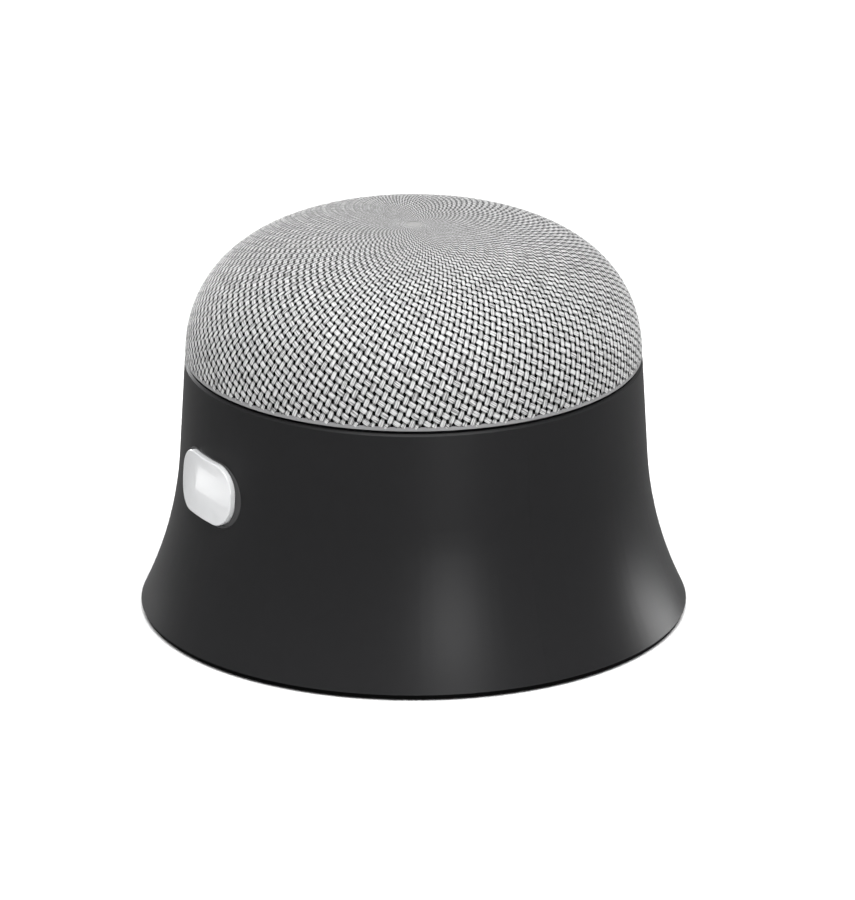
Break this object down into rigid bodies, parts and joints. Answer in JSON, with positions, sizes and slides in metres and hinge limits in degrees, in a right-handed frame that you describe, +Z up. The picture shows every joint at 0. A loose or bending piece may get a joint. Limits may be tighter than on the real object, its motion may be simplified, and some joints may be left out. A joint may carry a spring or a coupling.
{
  "type": "smart home hub",
  "caption": "Flared round smart home hub: a matte housing with a pill-shaped side button under a domed, woven-cloth loudspeaker grille.",
  "frame": {"origin": "on the table, under the centre of the hub's foot", "axes": "+Z up through the dome's crown; the button faces -Y and the power socket faces +Y"},
  "size_m": [0.0882, 0.0882, 0.0644],
  "materials": {
    "housing_plastic": "satin moulded charcoal",
    "base_plastic": "fine matte black",
    "foot_rubber": "matte black",
    "trim_grey": "satin light grey",
    "cloth": "woven light grey",
    "scrim": "open black mesh",
    "frame_plastic": "matte black",
    "button_white": "glossy translucent white",
    "seal_rubber": "soft dark grey",
    "board_green": "solder-mask green",
    "board_black": "solder-mask black",
    "zinc_screw": "zinc-plated",
    "black_screw": "black oxide",
    "switch_black": "moulded black",
    "plunger_white": "moulded white",
    "led_white": "clear encapsulant",
    "ribbon_film": "flat film cable",
    "chip_black": "moulded epoxy",
    "can_aluminium": "bare can",
    "shield_steel": "tinned",
    "socket_steel": "stamped stainless",
    "connector_nylon": "natural nylon",
    "lead_red": "insulated lead",
    "lead_grey": "coaxial lead",
    "antenna_copper": "thin copper foil",
    "gasket_foam": "closed-cell foam",
    "basket_steel": "black lacquer",
    "terminal_board": "phenolic board",
    "motor_steel": "zinc-plated",
    "ferrite": "bare ferrite",
    "coil_copper": "enamelled winding",
    "spider_cloth": "resin-dipped cloth",
    "cone_paper": "pressed pulp",
    "surround_rubber": "soft black"
  },
  "bodies": {
    "housing": {"body_shell": "housing_plastic", "base_plate": "base_plastic", "foot_ring": "foot_rubber", "base_screws": "black_screw", "trim_ring": "trim_grey", "grille_cloth": "cloth", "acoustic_scrim": "scrim", "grille_frame": "frame_plastic", "button_seal": "seal_rubber", "button_board": "board_black", "button_board_screws": "zinc_screw", "button_switch": "switch_black", "status_leds": "led_white", "button_ribbon": "ribbon_film", "main_board": "board_green", "main_board_screws": "zinc_screw", "radio_shield": "shield_steel", "board_chips": "chip_black", "board_capacitors": "can_aluminium", "socket_shell": "socket_steel", "socket_tongue": "switch_black", "speaker_connector": "connector_nylon", "speaker_leads": "lead_red", "antenna_strip": "antenna_copper", "antenna_lead": "lead_grey", "baffle_plate": "frame_plastic", "baffle_screws": "zinc_screw", "driver_gasket": "gasket_foam", "driver_basket": "basket_steel", "driver_terminals": "terminal_board", "driver_screws": "zinc_screw", "driver_top_plate": "motor_steel", "driver_magnet": "ferrite", "driver_yoke": "motor_steel", "driver_spider": "spider_cloth", "driver_surround": "surround_rubber"},
    "button": {"button_cap": "button_white", "switch_plunger": "plunger_white"},
    "cone": {"driver_cone": "cone_paper", "dust_cap": "cone_paper", "voice_coil": "coil_copper"}
  },
  "joints": [
    {"name": "button_press", "type": "slide", "parent": "housing", "child": "button", "axis": [0, 1, 0], "range_m": [0, 0.0007], "stiffness_N_per_m": 2500, "springref_m": -0.0002},
    {"name": "cone_excursion", "type": "slide", "parent": "housing", "child": "cone", "axis": [0, 0, 1], "range_m": [-0.0012, 0.0012], "stiffness_N_per_m": 1000, "deforming": ["driver_surround", "driver_spider"]}
  ]
}
